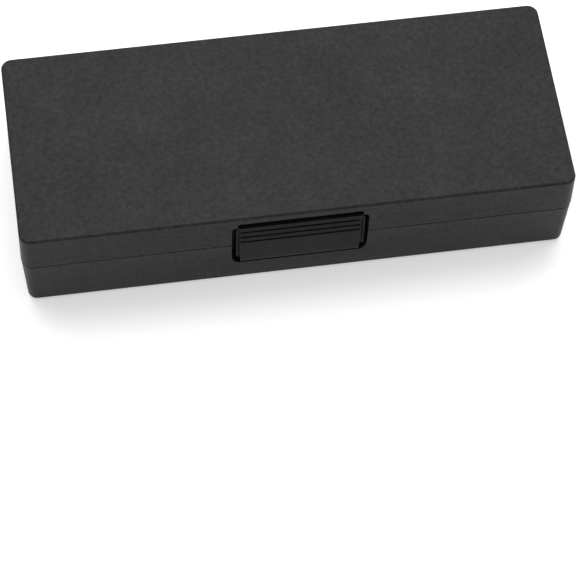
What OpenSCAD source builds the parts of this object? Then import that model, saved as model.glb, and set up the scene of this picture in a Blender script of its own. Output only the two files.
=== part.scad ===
// Hard case for a ten-hole mouth organ: a deep moulded base and a shallower moulded lid,
// hinged at the back on two steel pins and held shut by a pinned latch flap at the front.
// X runs along the case, the front looks to -Y, Z is up. The origin is the middle of the underside.

/* [Case] */
// Length over the lid's rim
case_l = 130; // [122:1:150]
// Depth over the lid's rim, front to back
case_d = 51.5; // [49:0.5:60]
// Height of the base, from the underside to the seam
base_h = 16.2; // [15.5:0.1:20]
// Height of the lid, from the seam to the top
lid_h = 11; // [10.2:0.1:14]
// Thickness of the side walls
wall = 1.8; // [1.6:0.1:2.2]
// Thickness of the base's floor
floor_t = 1.8; // [1.5:0.1:2.5]
// Thickness of the lid's roof
roof_t = 1.8; // [1.5:0.1:2.2]
// Radius of the upright corners at the seam
corner_r = 2.8; // [2.4:0.1:5]
// Lean of the base's walls, in degrees
base_draft = 1.8; // [0.5:0.1:2.5]
// Lean of the lid's walls, in degrees
lid_draft = 1; // [0.5:0.1:2]
// Radius of the lid's top edge
top_edge_r = 0.6; // [0.3:0.1:1]
// Radius of the base's bottom edge
bottom_edge_r = 1.2; // [0.6:0.1:1.5]
// How far the lid's rim stands out past the base's rim
lid_lap = 0.1; // [0:0.05:0.4]
// Radius of the two rims' outer edges, which meet as a groove
seam_r = 0.45; // [0.2:0.05:0.5]

/* [Rim tongue] */
// Height of the tongue that stands up inside the seam
tongue_h = 1.2; // [0.8:0.1:1.6]
// Thickness of the tongue
tongue_t = 0.9; // [0.7:0.1:1]
// Gap between the tongue and the lid
tongue_gap = 0.15; // [0.1:0.05:0.25]

/* [Hinge] */
// Distance of each hinge from the end of the case
hinge_inset = 27; // [19:1:37]
// Diameter of the hinge pins
hinge_pin_d = 1.8; // [1.4:0.1:2]
// Diameter of the hinge barrels
barrel_d = 4.2; // [3.8:0.1:4.6]
// Gap between the barrels and the lid's back wall
barrel_gap = 0.25; // [0.15:0.05:0.4]
// Width of the lid's knuckle
lid_knuckle_w = 6; // [4:0.5:8]
// Width of each of the base's two knuckles
base_knuckle_w = 4.5; // [3:0.5:6]
// End gap between neighbouring knuckles
knuckle_gap = 0.2; // [0.15:0.05:0.3]
// How far the lid swings open, in degrees
lid_open = 110; // [95:1:120]

/* [Latch] */
// Width of the latch flap
flap_w = 30.2; // [26:0.2:36]
// Gap between the flap and the sides of its pocket
flap_gap = 0.95; // [0.5:0.05:1]
// Gap between the flap and the two ends of its pocket
flap_end_gap = 0.25; // [0.2:0.05:0.4]
// Thickness of the flap at its middle
flap_t = 2.1; // [1.9:0.1:2.3]
// How far the flap's middle stands out past the lid's rim
flap_proud = 0.2; // [0.1:0.05:0.6]
// Radius of the flap's bowed outer face
flap_bow_r = 120; // [90:5:200]
// Height of the flap's lower end above the underside
flap_foot = 7.2; // [7:0.1:8.6]
// Distance from the flap's upper end to the top of the lid
flap_head = 4; // [3.8:0.1:4.3]
// Corner radius of the flap's upper end
flap_head_r = 0.8; // [0.5:0.1:1.2]
// Height of the shoulders above the flap's lower end
shoulder_rise = 3.7; // [3:0.1:4.2]
// Radius of the shoulders, which is how much narrower the foot is at each end
shoulder_r = 1; // [0.6:0.1:1.3]
// Corner radius of the flap's lower end
flap_foot_r = 1.5; // [0.8:0.1:1.8]
// Corner radius of the pocket's lower end
pocket_foot_r = 3.2; // [2.4:0.1:3.5]
// Width of the border along each side of the flap
border_w = 0.4; // [0.3:0.05:0.6]
// Width of the groove inside the border
border_groove_w = 0.4; // [0.3:0.05:0.5]
// Depth of the groove inside the border
border_groove_depth = 0.35; // [0.2:0.05:0.4]
// Width of the nail slot in the lid
slot_w = 29.4; // [20:0.2:29.4]
// Height of the nail slot above the flap
slot_h = 1.8; // [1.5:0.1:2]
// Number of grip grooves in the flap
grip_count = 3; // [2:1:3]
// Distance between neighbouring grip grooves
grip_pitch = 2; // [1.7:0.1:2.3]
// Width of each grip groove
grip_w = 0.6; // [0.4:0.05:0.8]
// Depth of each grip groove
grip_depth = 0.7; // [0.4:0.05:0.8]
// Height of the lid's keeper above the seam
keeper_rise = 3.5; // [3:0.1:4.5]
// Height of the flap's catch above the keeper
catch_rise = 1.7; // [1.5:0.1:1.9]
// Width of the catch and the keeper
catch_w = 16; // [8:1:18]
// Diameter of the latch pin
latch_pin_d = 1.5; // [1.3:0.1:1.6]
// Width of each clip that holds the latch pin
clip_w = 4; // [3:0.5:5]
// Distance of each clip from the middle of the case
clip_x = 7.5; // [6:0.5:9]

/* [Inserts] */
// Length of the instrument's pocket in the foam bed
pocket_l = 104; // [96:1:106]
// Width of the instrument's pocket in the foam bed
pocket_w = 29; // [26:0.5:30]
// Corner radius of the instrument's pocket
pocket_r = 3; // [2:0.5:5]
// Thickness of the foam sheet under the instrument
bed_floor_t = 2; // [1.5:0.1:3]
// Thickness of the cut-out foam block round the instrument
bed_block_t = 10.7; // [8:0.1:11]
// Radius of the two finger scoops
scoop_r = 9; // [7:0.5:10]
// How far the back scoop reaches past the pocket
scoop_back = 6; // [4:0.5:7]
// How far the front scoop reaches past the pocket
scoop_front = 3; // [2:0.25:3.5]
// Thickness of the foam pad under the lid's roof
lid_pad_t = 1.8; // [1:0.1:2.5]
// Gap between the foam inserts and the walls
foam_gap = 0.25; // [0.2:0.05:0.5]

/* [Hidden] */

$fn = 64;
shell_fn = 48;
bow_fn = 720;
skin = 0.01;
// overlap that fuses one form into the next
bite = 0.5;
// radial gaps: a pin in its fixed seat, and a part that turns on its pin
seat_gap = 0.01;
run_gap = 0.05;
black = [0.13, 0.13, 0.135];
foam_grey = [0.2, 0.2, 0.21];
steel = [0.72, 0.73, 0.75];

// rim sizes
seam_z = base_h;
top_z = base_h + lid_h;
base_l = case_l - 2 * lid_lap;
base_d = case_d - 2 * lid_lap;
base_r = corner_r - lid_lap;
base_slope = tan(base_draft);
lid_slope = tan(lid_draft);
inner_r = 1.2;
inner_edge_r = 0.6;
lid_in_l = case_l - 2 * wall;
lid_in_d = case_d - 2 * wall;
base_in_l = base_l - 2 * wall;
base_in_d = base_d - 2 * wall;
roof_z = top_z - roof_t;

// hinge axis and pin
hinge_y = case_d / 2 + barrel_gap + barrel_d / 2;
hinge_z = seam_z;
hinge_x = case_l / 2 - hinge_inset;
station_w = lid_knuckle_w + 2 * knuckle_gap + 2 * base_knuckle_w;
blind_wall = 1;
pin_inset = 0.2;
hinge_pin_l = station_w - blind_wall - pin_inset;
arm_gap = 0.15;
arm_reach = 6;
heel_gap = 0.06;
heel_top = 1.5;
heel_h = 1.2;
heel_relief = 0.1;
heel_low = heel_top + heel_h;

// latch: pocket, pin and flap; the cutters start at front_y, well in front of the case
front_y = -case_d / 2 - 3;
flap_mid_z = (flap_foot + top_z - flap_head) / 2;
flap_top_z = top_z - flap_head;
bow_y = -case_d / 2 - flap_proud + flap_bow_r;
clip_wall = 0.6;
clip_r = latch_pin_d / 2 + clip_wall;
mouth_bite = 0.25;
clip_air = 0.2;
clip_skin = 0.55;
clip_arm_air = 0.6;
latch_pin_inset = 0.3;
roll_r = clip_r + clip_air + clip_skin;
roll_gap = 0.4;
latch_z = flap_foot + roll_r;
latch_y = bow_y - sqrt(flap_bow_r * flap_bow_r - pow(latch_z - flap_mid_z, 2)) + roll_r;
flap_back_y = -case_d / 2 - flap_proud + flap_t;
latch_half = flap_w / 2 + flap_gap;
latch_back_y = latch_y + roll_r + roll_gap;
box_wall = 1.4;
box_back_y = latch_back_y + box_wall;
box_half = latch_half + box_wall;
shoulder_z = flap_foot + shoulder_rise;
foot_half = flap_w / 2 - shoulder_r;
foot_room = 0.3;
latch_pin_l = 2 * (foot_half - latch_pin_inset);
mouth_w = latch_pin_d - mouth_bite;
slot_r = 0.6;
grip_land = 0.2;
grip_half = flap_w / 2 - border_w - border_groove_w - grip_land;
grip_ramp = 0.4;
grip_step = 1.7;

// catch on the flap and keeper on the lid; the keeper swings back as it passes the catch,
// so at rest it may stand that much nearer
keeper_z = seam_z + keeper_rise;
keeper_r = 0.6;
catch_z = keeper_z + catch_rise;
catch_r = 0.8;
catch_gap = 0.06;
catch_arm = hinge_y - flap_back_y;
catch_swing = (catch_z - keeper_z) / catch_arm;
keeper_retreat = (keeper_z - hinge_z) * catch_swing + catch_arm * catch_swing * catch_swing / 2;
keeper_y = flap_back_y + catch_r + keeper_r + catch_gap - keeper_retreat;

// inserts
bed_z = floor_t + bed_floor_t;
foam_r = 2;

// A drafted block with round upright corners. Its full size is at z_rim, it leans in towards
// z_far, where its edge has the radius far_r, and its edge at the rim has the radius rim_r.
module drafted_block(l, d, r, z_rim, z_far, slope, far_r, rim_r = 0) {
    up = z_far > z_rim ? 1 : -1;
    lean = abs(z_far - z_rim) * slope;
    hull() {
        for (sx = [-1, 1], sy = [-1, 1]) {
            translate([sx * (l / 2 - r), sy * (d / 2 - r), 0]) {
                for (a = [0:30:90]) {
                    translate([0, 0, z_rim + up * rim_r * (1 - cos(a)) - skin * (1 - up) / 2])
                        cylinder(r = r - rim_r * (1 - sin(a)), h = skin, $fn = shell_fn);
                }
                for (a = [0:15:90]) {
                    translate([0, 0, z_far - up * far_r * (1 - sin(a)) - skin * (1 + up) / 2])
                        cylinder(r = r - lean - far_r * (1 - cos(a)), h = skin, $fn = shell_fn);
                }
            }
        }
    }
}

// A flat plate outline with round corners, centred on the origin.
module round_plate(l, d, r) {
    square([l - 2 * r, d], center = true);
    square([l, d - 2 * r], center = true);
    for (sx = [-1, 1], sy = [-1, 1])
        translate([sx * (l / 2 - r), sy * (d / 2 - r)]) circle(r = r);
}

// Turns a (y, z) outline into a bar that runs along X from x0 over the width w.
module along_x(x0, w) {
    translate([x0, 0, 0]) rotate([90, 0, 90]) linear_extrude(w) children();
}

// Turns an (x, z) outline into a bar that runs along Y from y0 over the depth d.
module along_y(y0, d) {
    translate([0, y0 + d, 0]) rotate([90, 0, 0]) linear_extrude(d) children();
}

// Front outline of a plate between two heights, with its own corner radius at each end.
module front_plate(half, low, high, low_r, high_r) {
    for (end = [[low, 0, low_r], [high, 1, high_r]])
        translate([0, end[0]]) mirror([0, end[1]])
            intersection() {
                translate([0, high - low]) round_plate(2 * half, 2 * (high - low), end[2]);
                translate([-half, 0]) square([2 * half, (high - low) / 2 + skin]);
            }
}

// Front outline of the flap: a face with round shoulders, over a narrower foot.
module flap_outline() {
    front_plate(flap_w / 2, shoulder_z, flap_top_z, shoulder_r, flap_head_r);
    front_plate(foot_half, flap_foot, shoulder_z + 2 * shoulder_r, flap_foot_r, shoulder_r);
}

// The space that the flap swings in, cut from the base and the lid.
module latch_pocket() {
    roll_room = roll_r + roll_gap;
    intersection() {
        along_y(front_y, latch_back_y - front_y)
            front_plate(latch_half, flap_foot - flap_end_gap, flap_top_z + flap_end_gap,
                        pocket_foot_r, flap_head_r + flap_end_gap);
        union() {
            along_x(-latch_half - 1, 2 * latch_half + 2)
                translate([latch_y, latch_z]) circle(r = roll_room);
            translate([-latch_half - 1, front_y, latch_z])
                cube([2 * latch_half + 2, latch_back_y - front_y, top_z - latch_z]);
        }
    }
    // the round foot turns here
    along_x(-foot_half - foot_room, 2 * (foot_half + foot_room))
        translate([latch_y, latch_z]) circle(r = roll_room);
}

// One open-fronted clip that the latch pin snaps into.
module pin_clip(x) {
    along_x(x - clip_w / 2, clip_w)
        difference() {
            union() {
                translate([latch_y, latch_z]) circle(r = clip_r);
                translate([latch_y, latch_z])
                    square([latch_back_y + bite - latch_y, clip_r]);
            }
            translate([latch_y, latch_z]) circle(r = latch_pin_d / 2 + seat_gap);
            translate([latch_y - clip_r - 1, latch_z - mouth_w / 2])
                square([clip_r + 1, mouth_w]);
        }
}

// Outline of a base knuckle: a barrel with a gusset down to the back wall.
module base_knuckle_outline() {
    translate([hinge_y, hinge_z]) circle(d = barrel_d);
    polygon([
        [base_d / 2 - bite, hinge_z - seam_r - arm_gap],
        [base_d / 2, hinge_z - arm_gap],
        [hinge_y, hinge_z - arm_gap],
        [hinge_y, hinge_z - barrel_d / 2],
        [base_d / 2 - bite, hinge_z - barrel_d / 2 - arm_reach]
    ]);
}

// Outline of a lid knuckle: a barrel with a gusset up to the lid's back wall, and a heel
// that lands on the base's back wall when the lid is fully open.
module lid_knuckle_outline() {
    reach = hinge_y - base_d / 2;
    translate([hinge_y, hinge_z]) circle(d = barrel_d);
    polygon([
        [case_d / 2 - bite, hinge_z + seam_r + arm_gap],
        [case_d / 2, hinge_z + arm_gap],
        [hinge_y, hinge_z + arm_gap],
        [hinge_y, hinge_z + barrel_d / 2],
        [case_d / 2 - bite, hinge_z + arm_reach]
    ]);
    // drawn where it stands with the lid open, and turned back to the closed lid
    translate([hinge_y, hinge_z]) rotate(lid_open)
        polygon([
            [-reach + heel_gap - heel_top * base_slope, -heel_top],
            [-reach + heel_gap - heel_low * base_slope + heel_relief, -heel_low],
            [-barrel_d / 4, -heel_low],
            [0, -barrel_d / 2 + heel_relief],
            [-barrel_d / 3, -barrel_d / 3]
        ]);
}

// The two knuckles of one base hinge; the bore is blind at its inner end.
module base_hinge(side) {
    x0 = hinge_x - station_w / 2;
    mirror([side < 0 ? 1 : 0, 0, 0])
        difference() {
            union() {
                along_x(x0, base_knuckle_w) base_knuckle_outline();
                along_x(x0 + station_w - base_knuckle_w, base_knuckle_w) base_knuckle_outline();
            }
            along_x(x0 + blind_wall, station_w)
                translate([hinge_y, hinge_z]) circle(d = hinge_pin_d + 2 * seat_gap);
        }
}

module base_shell() {
    color(black)
        difference() {
            union() {
                difference() {
                    drafted_block(base_l, base_d, base_r, seam_z, 0, base_slope,
                                  bottom_edge_r, seam_r);
                    drafted_block(base_in_l, base_in_d, inner_r, seam_z + skin, floor_t,
                                  base_slope, inner_edge_r);
                }
                rim_tongue();
                translate([-box_half, -base_d / 2 + wall - bite, floor_t - bite])
                    cube([2 * box_half, box_back_y + base_d / 2 - wall + bite,
                          seam_z - floor_t + bite]);
                base_hinge(-1);
                base_hinge(1);
            }
            latch_pocket();
        }
    color(black)
        for (side = [-1, 1]) pin_clip(side * clip_x);
}

// The tongue follows the inside of the seam and stops on both sides of the latch.
module rim_tongue() {
    out_l = base_in_l + 2 * tongue_t;
    out_d = base_in_d + 2 * tongue_t;
    translate([0, 0, seam_z - bite])
        linear_extrude(tongue_h + bite)
            difference() {
                round_plate(out_l, out_d, inner_r + tongue_t);
                round_plate(base_in_l, base_in_d, inner_r);
                translate([-box_half - tongue_gap, -case_d / 2])
                    square([2 * (box_half + tongue_gap), case_d / 4]);
            }
}

// The room for the tongue in the lid's rim.
module tongue_room() {
    out_l = base_in_l + 2 * (tongue_t + tongue_gap);
    out_d = base_in_d + 2 * (tongue_t + tongue_gap);
    translate([0, 0, seam_z - bite])
        linear_extrude(tongue_h + tongue_gap + bite)
            difference() {
                round_plate(out_l, out_d, inner_r + tongue_t + tongue_gap);
                translate([-box_half, -case_d / 2])
                    square([2 * box_half, case_d / 4]);
            }
}

module lid_shell() {
    color(black)
        difference() {
            union() {
                difference() {
                    drafted_block(case_l, case_d, corner_r, seam_z, top_z, lid_slope,
                                  top_edge_r, seam_r);
                    drafted_block(lid_in_l, lid_in_d, inner_r, seam_z - skin, roof_z,
                                  lid_slope, inner_edge_r);
                    tongue_room();
                }
                translate([-box_half, -case_d / 2 + wall - bite, seam_z])
                    cube([2 * box_half, box_back_y + case_d / 2 - wall + bite,
                          roof_z + bite - seam_z]);
                lid_knuckles();
            }
            latch_pocket();
            nail_slot();
            lid_bores();
        }
    color(black) keeper();
}

module lid_knuckles() {
    for (side = [-1, 1])
        along_x(side * hinge_x - lid_knuckle_w / 2, lid_knuckle_w) lid_knuckle_outline();
}

module lid_bores() {
    for (side = [-1, 1])
        along_x(side * hinge_x - lid_knuckle_w, 2 * lid_knuckle_w)
            translate([hinge_y, hinge_z]) circle(d = hinge_pin_d + 2 * run_gap);
}

// The slot above the flap that lets a fingernail behind its upper end.
module nail_slot() {
    along_y(front_y, latch_back_y - front_y)
        translate([0, flap_top_z]) round_plate(slot_w, 2 * slot_h, slot_r);
}

// The ledge with a round nose that the latch's catch snaps over.
module keeper() {
    along_x(-catch_w / 2, catch_w) {
        translate([keeper_y, keeper_z]) circle(r = keeper_r);
        translate([keeper_y, keeper_z - keeper_r])
            square([latch_back_y + bite - keeper_y, 2 * keeper_r]);
    }
}

module hinge_pin(side) {
    x0 = hinge_x - station_w / 2 + blind_wall;
    color(steel)
        mirror([side < 0 ? 1 : 0, 0, 0])
            translate([x0, hinge_y, hinge_z]) rotate([0, 90, 0])
                cylinder(d = hinge_pin_d, h = hinge_pin_l);
}

module hinge_pin_left() {
    hinge_pin(-1);
}

module hinge_pin_right() {
    hinge_pin(1);
}

// Side outline of the flap: a bowed plate over a round foot that holds the pin.
module flap_side_outline() {
    intersection() {
        translate([bow_y, flap_mid_z]) circle(r = flap_bow_r, $fn = bow_fn);
        translate([flap_back_y - flap_t - 1, latch_z])
            square([flap_t + 1, flap_top_z - latch_z]);
    }
    translate([latch_y, latch_z]) circle(r = clip_r);
    intersection() {
        translate([latch_y, latch_z]) circle(r = roll_r);
        translate([latch_y - roll_r, latch_z - roll_r]) square([roll_r, roll_r]);
    }
}

module latch_flap() {
    color(black)
        difference() {
            union() {
                intersection() {
                    along_x(-flap_w / 2, flap_w) flap_side_outline();
                    along_y(front_y, latch_back_y - front_y) flap_outline();
                }
                along_x(-catch_w / 2, catch_w)
                    translate([flap_back_y, catch_z]) circle(r = catch_r);
            }
            face_cut(border_groove_depth) border_grooves();
            grip_grooves();
            along_x(-flap_w, 2 * flap_w)
                translate([latch_y, latch_z]) circle(d = latch_pin_d + 2 * run_gap);
            clip_rooms();
        }
}

// Cuts an (x, z) outline into the flap's face, to a floor that bows like the face.
module face_cut(depth) {
    difference() {
        along_y(front_y, flap_back_y - front_y) children();
        along_x(-flap_w, 2 * flap_w)
            translate([bow_y, flap_mid_z]) circle(r = flap_bow_r - depth, $fn = bow_fn);
    }
}

// The groove inside each side border, open at the flap's upper end and at its shoulders.
module border_grooves() {
    for (side = [-1, 1])
        translate([side * (flap_w / 2 - border_w - border_groove_w / 2), flap_mid_z])
            square([border_groove_w, top_z], center = true);
}

// The row of grip grooves below the flap's upper end; their ends slope out to the face.
module grip_grooves() {
    for (i = [0:grip_count - 1]) {
        z = flap_top_z - grip_step - i * grip_pitch;
        face_y = bow_y - sqrt(flap_bow_r * flap_bow_r - pow(z - flap_mid_z, 2));
        translate([0, 0, z - grip_w / 2])
            linear_extrude(grip_w)
                polygon([
                    [-grip_half, front_y],
                    [grip_half, front_y],
                    [grip_half, face_y],
                    [grip_half - grip_ramp, face_y + grip_depth],
                    [-grip_half + grip_ramp, face_y + grip_depth],
                    [-grip_half, face_y]
                ]);
    }
}

// Room in the flap's foot for the two pin clips.
module clip_rooms() {
    room_w = clip_w + 2 * clip_air;
    for (side = [-1, 1])
        along_x(side * clip_x - room_w / 2, room_w) {
            translate([latch_y, latch_z]) circle(r = clip_r + clip_air);
            translate([latch_y, latch_z])
                square([roll_r, clip_r + clip_arm_air]);
        }
}

module latch_pin() {
    color(steel)
        translate([-latch_pin_l / 2, latch_y, latch_z]) rotate([0, 90, 0])
            cylinder(d = latch_pin_d, h = latch_pin_l);
}

module bed_floor() {
    color(foam_grey)
        translate([0, 0, floor_t])
            linear_extrude(bed_floor_t)
                insert_outline(base_in_l, base_in_d, (seam_z - floor_t) * base_slope + inner_edge_r);
}

// Outline of a foam insert that fits a cavity which is drawn in by lean where the insert lies.
module insert_outline(l, d, lean) {
    difference() {
        round_plate(l - 2 * (lean + foam_gap), d - 2 * (lean + foam_gap), foam_r);
        latch_notch();
    }
}

// The part of an insert's outline that gives way to the latch's box.
module latch_notch() {
    translate([-box_half - foam_gap, -case_d / 2])
        square([2 * (box_half + foam_gap), box_back_y + foam_gap + case_d / 2]);
}

module bed_block() {
    color(foam_grey)
        translate([0, 0, bed_z])
            linear_extrude(bed_block_t)
                difference() {
                    insert_outline(base_in_l, base_in_d, (seam_z - bed_z) * base_slope);
                    pocket_outline();
                }
}

// The instrument's outline with a finger scoop in each long side.
module pocket_outline() {
    round_plate(pocket_l, pocket_w, pocket_r);
    translate([0, pocket_w / 2 + scoop_back - scoop_r]) circle(r = scoop_r);
    translate([0, -pocket_w / 2 - scoop_front + scoop_r]) circle(r = scoop_r);
}

module lid_pad() {
    color(foam_grey)
        translate([0, 0, roof_z - lid_pad_t])
            linear_extrude(lid_pad_t)
                insert_outline(lid_in_l, lid_in_d, (roof_z - seam_z) * lid_slope + inner_edge_r);
}

base_shell();
lid_shell();
hinge_pin_left();
hinge_pin_right();
latch_flap();
latch_pin();
bed_floor();
bed_block();
lid_pad();
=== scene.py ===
"""Looks of a hinged hard case: moulded black shells, a grooved latch flap, steel pins, foam inserts."""

import math

import bpy
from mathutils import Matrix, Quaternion, Vector


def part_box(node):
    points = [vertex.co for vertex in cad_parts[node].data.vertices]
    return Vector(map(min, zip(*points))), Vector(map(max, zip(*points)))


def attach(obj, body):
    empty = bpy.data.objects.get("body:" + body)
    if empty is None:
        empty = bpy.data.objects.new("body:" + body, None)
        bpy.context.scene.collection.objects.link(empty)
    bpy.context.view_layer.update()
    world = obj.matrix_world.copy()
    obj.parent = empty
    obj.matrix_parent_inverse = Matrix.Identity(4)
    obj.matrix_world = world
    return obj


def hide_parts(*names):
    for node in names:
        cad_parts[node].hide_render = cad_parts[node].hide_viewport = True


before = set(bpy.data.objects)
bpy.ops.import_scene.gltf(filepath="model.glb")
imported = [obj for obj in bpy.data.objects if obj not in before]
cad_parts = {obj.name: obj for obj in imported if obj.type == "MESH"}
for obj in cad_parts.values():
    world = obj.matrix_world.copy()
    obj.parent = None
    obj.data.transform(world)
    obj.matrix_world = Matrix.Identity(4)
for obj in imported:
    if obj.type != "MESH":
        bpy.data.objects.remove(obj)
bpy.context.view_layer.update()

MM = 0.001

# Camera, in millimetres and degrees
CAMERA_AT = Vector((-55.6, -319.6, 523.5))
CAMERA_AIM = Vector((-3.1, -29.65, 0))
CAMERA_ROLL = 2.45
LENS_MM = 157.7
SENSOR_MM = 36

# Plastic: its mottle, blotches, handling marks and the slow unevenness of its faces, in millimetres
MOTTLE_MM = 1.1
BLOTCH_MM = 9.0
HANDLING_MM = 28.0
SWELL_MM = 2.2
SWELL_DEPTH = 0.06

# Steel: the width of its drawing lines, how they stretch along X, and its stains, in millimetres
DRAW_LINE_MM = 0.12
DRAW_STRETCH = (0.04, 1, 1)
STAIN_MM = 2.5

# Foam's surface: its cells, its fine grain and its slow change of tone, in millimetres
CELL_MM = 0.55
FINE_MM = 0.25
CLOUD_MM = 7.0
CELL_DEPTH = 0.14

# Floor and studio: the floor's size in metres, its gap and the lamp's sizes in millimetres
FLOOR_SIZE = 6
FLOOR_GAP = 0.1
FLOOR_WHITE = 0.85
FLOOR_LIFT = 0.4
TENT_LEVEL = 0.7
DIM_LEVEL = 0.38
DIM_FROM = -0.75
DIM_TO = -0.2
OVERHEAD_AT = (60, 420, 880)
OVERHEAD_AIM = (0, 0, 20)
OVERHEAD_SIZE = (1100, 700)
OVERHEAD_WATTS = 7.5

# Foam inserts, in millimetres
POCKET_L = 104
POCKET_W = 29
POCKET_CORNER = 3
SCOOP_R = 9
SCOOP_BACK = 6
SCOOP_FRONT = 3
FOAM_CORNER = 2
FOAM_SLACK = 0.15
NOTCH_HALF = 17.85
NOTCH_BACK = -19.4
NOTCH_CORNER = 0.8
CUT_PAST = 2
BED_CELL = 0.6
THIN_CELL = 0.5
FLOOR_UNEVEN = 0.12
BED_UNEVEN = 0.25
PAD_UNEVEN = 0.15
CORNER_STEPS = 8
SCOOP_SIDES = 64
SMOOTH_DEGREES = 50
TINY = 1e-7


# Selection helpers

def only(piece):
    """Makes one piece the selected and active object."""
    bpy.ops.object.select_all(action="DESELECT")
    piece.select_set(True)
    bpy.context.view_layer.objects.active = piece


def apply_all(piece):
    """Applies every modifier of a piece."""
    only(piece)
    for name in [m.name for m in piece.modifiers]:
        bpy.ops.object.modifier_apply(modifier=name)


def settle(piece):
    """Puts a piece's place into its mesh, so that its object stands at the origin."""
    only(piece)
    bpy.ops.object.transform_apply(location=True, rotation=True, scale=True)


# Materials

class Finish:
    """A node material with one Principled shader, built up link by link."""

    def __init__(self, name):
        self.material = bpy.data.materials.new(name)
        self.material.use_nodes = True
        self.nodes = self.material.node_tree.nodes
        self.links = self.material.node_tree.links
        self.shader = self.nodes["Principled BSDF"]
        self.place = self.nodes.new("ShaderNodeTexCoord").outputs["Object"]

    def link(self, out, into):
        """Joins one node's output to another's input."""
        self.links.new(out, into)

    def noise(self, size_mm, detail=2.0, rough=0.5, stretch=None):
        """Noise whose blotches are about size_mm across."""
        node = self.nodes.new("ShaderNodeTexNoise")
        node.inputs["Scale"].default_value = 1 / (size_mm * MM)
        node.inputs["Detail"].default_value = detail
        node.inputs["Roughness"].default_value = rough
        if stretch:
            mapping = self.nodes.new("ShaderNodeMapping")
            mapping.inputs["Scale"].default_value = stretch
            self.link(self.place, mapping.inputs["Vector"])
            self.link(mapping.outputs["Vector"], node.inputs["Vector"])
        else:
            self.link(self.place, node.inputs["Vector"])
        return node.outputs["Fac"]

    def pits(self, size_mm, randomness=1.0):
        """Small cells about size_mm across; the value is 0 at each cell's middle."""
        node = self.nodes.new("ShaderNodeTexVoronoi")
        node.inputs["Scale"].default_value = 1 / (size_mm * MM)
        node.inputs["Randomness"].default_value = randomness
        self.link(self.place, node.inputs["Vector"])
        return node.outputs["Distance"]

    def remap(self, value, low, high, to_low, to_high):
        """Maps a range of a value to another range."""
        node = self.nodes.new("ShaderNodeMapRange")
        node.inputs["From Min"].default_value = low
        node.inputs["From Max"].default_value = high
        node.inputs["To Min"].default_value = to_low
        node.inputs["To Max"].default_value = to_high
        self.link(value, node.inputs["Value"])
        return node.outputs["Result"]

    def combine(self, kind, first, second):
        """Adds, multiplies or otherwise combines two values; the second may be a number."""
        node = self.nodes.new("ShaderNodeMath")
        node.operation = kind
        self.link(first, node.inputs[0])
        if isinstance(second, (int, float)):
            node.inputs[1].default_value = second
        else:
            self.link(second, node.inputs[1])
        return node.outputs["Value"]

    def tint(self, amount, low, high):
        """Mixes two colours by an amount."""
        node = self.nodes.new("ShaderNodeMix")
        node.data_type = "RGBA"
        node.inputs["A"].default_value = (*low, 1)
        node.inputs["B"].default_value = (*high, 1)
        self.link(amount, node.inputs["Factor"])
        return node.outputs["Result"]

    def worn_edges(self, sharp=0.06, soft=0.5):
        """1 on worn convex edges and 0 on faces and in corners."""
        node = self.nodes.new("ShaderNodeNewGeometry")
        return self.remap(node.outputs["Pointiness"], 0.5 + sharp * soft, 0.5 + sharp, 0, 1)

    def bump(self, height, depth_mm, under=None):
        """Turns a height of 0 to 1 into a bump of that depth, over an earlier bump if given."""
        node = self.nodes.new("ShaderNodeBump")
        node.inputs["Distance"].default_value = depth_mm * MM
        node.inputs["Strength"].default_value = 1.0
        self.link(height, node.inputs["Height"])
        if under:
            self.link(under, node.inputs["Normal"])
        return node.outputs["Normal"]


def moulded_plastic(name, tone, gloss, roughness, grain_mm, grain_depth_mm, mottle):
    """Black plastic from a spark-eroded mould: pitted grain, mottled tone, faintly polished edges."""
    finish = Finish(name)
    grain = finish.noise(grain_mm, detail=3.0, rough=0.6)
    speck = finish.noise(MOTTLE_MM, detail=3.0, rough=0.7)
    blotch = finish.noise(BLOTCH_MM, detail=2.0)
    handling = finish.noise(HANDLING_MM, detail=1.0)
    clouded = finish.combine("MULTIPLY", finish.remap(speck, 0.3, 0.7, 1 - mottle, 1 + mottle),
                             finish.remap(blotch, 0.3, 0.7, 0.42, 0.58))
    dark = tuple(0.2 * tone for _ in range(3))
    light = tuple(1.8 * tone for _ in range(3))
    finish.link(finish.tint(clouded, dark, light), finish.shader.inputs["Base Color"])
    spread = finish.combine("ADD", finish.remap(grain, 0.3, 0.7, -0.06, 0.06),
                            finish.remap(handling, 0.35, 0.65, roughness - 0.03, roughness + 0.03))
    rubbed = finish.combine("MULTIPLY", finish.worn_edges(), -0.12)
    finish.link(finish.combine("ADD", spread, rubbed), finish.shader.inputs["Roughness"])
    swell = finish.bump(finish.noise(SWELL_MM, detail=2.0), SWELL_DEPTH)
    finish.link(finish.bump(grain, grain_depth_mm, under=swell), finish.shader.inputs["Normal"])
    finish.shader.inputs["Specular IOR Level"].default_value = gloss
    return finish.material


def drawn_steel(name):
    """Bright steel wire with fine drawing lines along X."""
    finish = Finish(name)
    lines = finish.noise(DRAW_LINE_MM, detail=3.0, stretch=DRAW_STRETCH)
    stain = finish.noise(STAIN_MM)
    colour = finish.tint(stain, (0.5, 0.5, 0.51), (0.66, 0.66, 0.67))
    finish.link(colour, finish.shader.inputs["Base Color"])
    finish.link(finish.remap(lines, 0.3, 0.7, 0.22, 0.38), finish.shader.inputs["Roughness"])
    finish.link(finish.bump(lines, 0.004), finish.shader.inputs["Normal"])
    finish.shader.inputs["Metallic"].default_value = 1.0
    return finish.material


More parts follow.
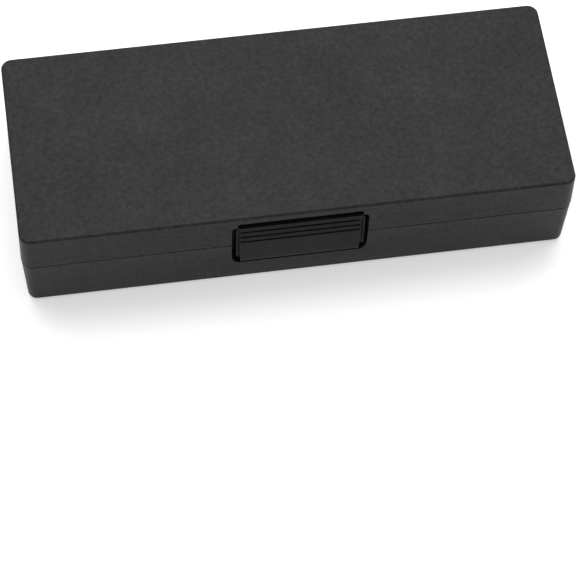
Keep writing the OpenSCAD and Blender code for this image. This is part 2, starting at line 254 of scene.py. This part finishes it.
def closed_cell_foam(name, tone):
    """Charcoal foam: tiny open cells on its cut faces, each painted darker towards its middle as shade in
    the pit, a soft uneven tone and a faint sheen.
    """
    finish = Finish(name)
    cells = finish.pits(CELL_MM)
    fine = finish.noise(FINE_MM, detail=2.0)
    cloud = finish.noise(CLOUD_MM, detail=2.0)
    depth = finish.combine("ADD", finish.remap(cells, 0.1, 0.6, 0, 1),
                           finish.combine("MULTIPLY", fine, 0.5))
    dark = tuple(0.6 * tone for _ in range(3))
    light = tuple(1.35 * tone for _ in range(3))
    # The colour darkens towards each cell's middle, a painted shade in the pits, and changes slowly in
    # tone across the face.
    pit_shade_and_tone = finish.combine("MULTIPLY", finish.remap(cells, 0.05, 0.5, 0.2, 1),
                           finish.remap(cloud, 0.3, 0.7, 0.7, 1))
    finish.link(finish.tint(pit_shade_and_tone, dark, light), finish.shader.inputs["Base Color"])
    finish.link(finish.remap(fine, 0.3, 0.7, 0.86, 0.98), finish.shader.inputs["Roughness"])
    finish.link(finish.bump(depth, CELL_DEPTH), finish.shader.inputs["Normal"])
    finish.shader.inputs["Sheen Weight"].default_value = 0.15
    finish.shader.inputs["Sheen Roughness"].default_value = 0.6
    return finish.material


SHELL = moulded_plastic("shell plastic", tone=0.0185, gloss=0.1, roughness=0.42,
                        grain_mm=0.3, grain_depth_mm=0.014, mottle=0.6)
LATCH = moulded_plastic("latch plastic", tone=0.011, gloss=0.06, roughness=0.5,
                        grain_mm=0.25, grain_depth_mm=0.01, mottle=0.4)
STEEL = drawn_steel("drawn steel")
FOAM = closed_cell_foam("foam", tone=0.045)


def dress(node, material):
    """Gives a CAD node its finish."""
    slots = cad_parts[node].material_slots
    for slot in slots:
        slot.material = material


for node, material in (("base_shell", SHELL), ("lid_shell", SHELL), ("latch_flap", LATCH),
                       ("hinge_pin_left", STEEL), ("hinge_pin_right", STEEL), ("latch_pin", STEEL)):
    dress(node, material)


# Foam inserts

def slab(name, low, high, corner_r):
    """A block between two corners, with rounded upright edges, all in millimetres."""
    low = Vector(low)
    high = Vector(high)
    bpy.ops.object.select_all(action="DESELECT")
    bpy.ops.mesh.primitive_cube_add(size=MM, location=(low + high) / 2 * MM)
    piece = bpy.context.object
    piece.name = name
    bpy.ops.object.mode_set(mode="EDIT")
    bpy.ops.mesh.select_all(action="SELECT")
    bpy.ops.transform.resize(value=high - low)
    bpy.ops.mesh.select_mode(type="EDGE")
    bpy.ops.mesh.select_all(action="DESELECT")
    bpy.ops.object.mode_set(mode="OBJECT")
    for edge in piece.data.edges:
        start, end = (piece.data.vertices[v].co for v in edge.vertices)
        edge.select = abs(start.z - end.z) > TINY
    bpy.ops.object.mode_set(mode="EDIT")
    bpy.ops.mesh.bevel(offset=corner_r * MM, segments=CORNER_STEPS, affect="EDGES")
    bpy.ops.object.mode_set(mode="OBJECT")
    settle(piece)
    return piece


def round_cutter(middle, radius, low_z, high_z):
    """An upright cylinder, in millimetres, to cut a finger scoop with."""
    bpy.ops.object.select_all(action="DESELECT")
    at = Vector((middle[0], middle[1], (low_z + high_z) / 2)) * MM
    tall = (high_z - low_z) * MM
    bpy.ops.mesh.primitive_cylinder_add(vertices=SCOOP_SIDES, radius=radius * MM, depth=tall, location=at)
    tool = bpy.context.object
    settle(tool)
    return tool


def cut(piece, tool):
    """Takes one shape out of another and throws the cutter away."""
    knife = piece.modifiers.new("cut", "BOOLEAN")
    knife.operation = "DIFFERENCE"
    knife.solver = "EXACT"
    knife.object = tool
    only(piece)
    bpy.ops.object.modifier_apply(modifier=knife.name)
    bpy.data.objects.remove(tool)


def flatten(piece, plane_z, reach):
    """Presses what lies near a level plane flat against it, in millimetres."""
    only(piece)
    for vertex in piece.data.vertices:
        vertex.select = abs(vertex.co.z - plane_z * MM) < reach * MM
    for edge in piece.data.edges:
        edge.select = all(piece.data.vertices[v].select for v in edge.vertices)
    for face in piece.data.polygons:
        face.select = all(piece.data.vertices[v].select for v in face.vertices)
    bpy.ops.object.mode_set(mode="EDIT")
    bpy.ops.mesh.select_mode(type="VERT")
    bpy.ops.transform.resize(value=(1, 1, 0), center_override=(0, 0, plane_z * MM))
    bpy.ops.object.mode_set(mode="OBJECT")


def make_foam(piece, cell, unevenness, glued_z):
    """Turns a sharp block into cut foam: soft edges, slightly uneven faces, and flat where it lies."""
    mesh = piece.modifiers.new("grid", "REMESH")
    mesh.mode = "VOXEL"
    mesh.voxel_size = cell * MM
    ease = piece.modifiers.new("ease", "SMOOTH")
    ease.factor = 0.5
    ease.iterations = 4
    swell = piece.modifiers.new("swell", "DISPLACE")
    swell.texture = foam_swell()
    swell.texture_coords = "GLOBAL"
    swell.strength = unevenness * MM
    swell.mid_level = 0.5
    apply_all(piece)
    flatten(piece, glued_z, 2 * unevenness)
    only(piece)
    bpy.ops.object.shade_smooth_by_angle(angle=math.radians(SMOOTH_DEGREES))
    piece.data.materials.clear()
    piece.data.materials.append(FOAM)


def foam_swell():
    """Slow hills and hollows, about a centimetre across."""
    name = "foam swell"
    if name not in bpy.data.textures:
        clouds = bpy.data.textures.new(name, "CLOUDS")
        clouds.noise_scale = 9 * MM
        clouds.noise_depth = 1
    return bpy.data.textures[name]


def notched_slab(name, node):
    """A foam blank that fills a CAD insert's outline, with the step round the latch's box."""
    low, high = (Vector(corner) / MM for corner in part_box(node))
    inset = Vector((FOAM_SLACK, FOAM_SLACK, 0))
    piece = slab(name, low + inset, high - inset, FOAM_CORNER)
    notch_low = (-NOTCH_HALF, low.y - CUT_PAST, low.z - CUT_PAST)
    notch_high = (NOTCH_HALF, NOTCH_BACK, high.z + CUT_PAST)
    cut(piece, slab("notch", notch_low, notch_high, NOTCH_CORNER))
    return piece, low, high


def foam_floor():
    """The foam sheet on the base's floor."""
    piece, low, high = notched_slab("foam_floor", "bed_floor")
    make_foam(piece, THIN_CELL, FLOOR_UNEVEN, low.z)
    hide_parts("bed_floor")
    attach(piece, "base")


def foam_bed():
    """The foam block on that sheet, with its long pocket and two finger scoops."""
    piece, low, high = notched_slab("foam_bed", "bed_block")
    below = low.z - CUT_PAST
    above = high.z + CUT_PAST
    pocket_low = (-POCKET_L / 2, -POCKET_W / 2, below)
    pocket_high = (POCKET_L / 2, POCKET_W / 2, above)
    cut(piece, slab("pocket", pocket_low, pocket_high, POCKET_CORNER))
    cut(piece, round_cutter((0, POCKET_W / 2 + SCOOP_BACK - SCOOP_R), SCOOP_R, below, above))
    cut(piece, round_cutter((0, -POCKET_W / 2 - SCOOP_FRONT + SCOOP_R), SCOOP_R, below, above))
    make_foam(piece, BED_CELL, BED_UNEVEN, low.z)
    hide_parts("bed_block")
    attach(piece, "base")


def foam_lid_pad():
    """The sheet glued under the lid's roof."""
    piece, low, high = notched_slab("foam_lid_pad", "lid_pad")
    make_foam(piece, THIN_CELL, PAD_UNEVEN, high.z)
    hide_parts("lid_pad")
    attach(piece, "lid")


foam_floor()
foam_bed()
foam_lid_pad()


# Floor, lights and camera

def shown_rays(nodes, links):
    """1 for the rays that see the background: the camera's, and those off gloss and through glass."""
    path = nodes.new("ShaderNodeLightPath")
    either = nodes.new("ShaderNodeMath")
    either.operation = "MAXIMUM"
    links.new(path.outputs["Is Camera Ray"], either.inputs[0])
    links.new(path.outputs["Is Glossy Ray"], either.inputs[1])
    every = nodes.new("ShaderNodeMath")
    every.operation = "MAXIMUM"
    links.new(either.outputs["Value"], every.inputs[0])
    links.new(path.outputs["Is Transmission Ray"], every.inputs[1])
    return every.outputs["Value"]


def floor():
    """A white table top that shows white where no shadow falls on it."""
    bpy.ops.object.select_all(action="DESELECT")
    bpy.ops.mesh.primitive_plane_add(size=FLOOR_SIZE, location=(0, 0, -FLOOR_GAP * MM))
    plane = bpy.context.object
    plane.name = "floor"
    finish = Finish("floor white")
    finish.shader.inputs["Base Color"].default_value = (FLOOR_WHITE, FLOOR_WHITE, FLOOR_WHITE, 1)
    finish.shader.inputs["Roughness"].default_value = 0.9
    finish.shader.inputs["Specular IOR Level"].default_value = 0.1
    finish.shader.inputs["Emission Color"].default_value = (1, 1, 1, 1)
    lift = finish.combine("MULTIPLY", shown_rays(finish.nodes, finish.links), FLOOR_LIFT)
    finish.link(lift, finish.shader.inputs["Emission Strength"])
    plane.data.materials.append(finish.material)


def softbox(name, at_mm, aim_mm, size_mm, watts):
    """A large soft lamp over the case, a little behind it."""
    data = bpy.data.lights.new(name, "AREA")
    data.shape = "RECTANGLE"
    data.size = size_mm[0] * MM
    data.size_y = size_mm[1] * MM
    data.energy = watts
    lamp = bpy.data.objects.new(name, data)
    lamp.location = Vector(at_mm) * MM
    lamp.rotation_euler = (Vector(aim_mm) - Vector(at_mm)).to_track_quat("-Z", "Y").to_euler()
    bpy.context.scene.collection.objects.link(lamp)


def studio():
    """A white tent, dimmer at the front. The camera, gloss and glass see it white all round."""
    world = bpy.data.worlds.new("studio")
    world.use_nodes = True
    nodes = world.node_tree.nodes
    links = world.node_tree.links
    parts = nodes.new("ShaderNodeSeparateXYZ")
    links.new(nodes.new("ShaderNodeTexCoord").outputs["Generated"], parts.inputs["Vector"])
    tent = nodes.new("ShaderNodeMapRange")
    tent.interpolation_type = "SMOOTHSTEP"
    tent.inputs["From Min"].default_value = DIM_FROM
    tent.inputs["From Max"].default_value = DIM_TO
    tent.inputs["To Min"].default_value = DIM_LEVEL
    tent.inputs["To Max"].default_value = TENT_LEVEL
    links.new(parts.outputs["Y"], tent.inputs["Value"])
    seen = nodes.new("ShaderNodeMix")
    seen.inputs["B"].default_value = 1.0
    links.new(shown_rays(nodes, links), seen.inputs["Factor"])
    links.new(tent.outputs["Result"], seen.inputs["A"])
    links.new(seen.outputs["Result"], nodes["Background"].inputs["Strength"])
    nodes["Background"].inputs["Color"].default_value = (1, 1, 1, 1)
    bpy.context.scene.world = world


def camera():
    """The photo's view: from the front, high up and far off, turned a little about its own axis."""
    data = bpy.data.cameras.new("camera")
    data.lens = LENS_MM
    data.sensor_width = SENSOR_MM
    data.clip_start = 0.01
    eye = bpy.data.objects.new("camera", data)
    eye.location = CAMERA_AT * MM
    aim = (CAMERA_AIM - CAMERA_AT).to_track_quat("-Z", "Y")
    eye.rotation_mode = "QUATERNION"
    eye.rotation_quaternion = aim @ Quaternion((0, 0, 1), math.radians(CAMERA_ROLL))
    bpy.context.scene.collection.objects.link(eye)
    bpy.context.scene.camera = eye


floor()
softbox("overhead", OVERHEAD_AT, OVERHEAD_AIM, OVERHEAD_SIZE, OVERHEAD_WATTS)
studio()
camera()

view = bpy.context.scene.view_settings
view.view_transform = "Standard"
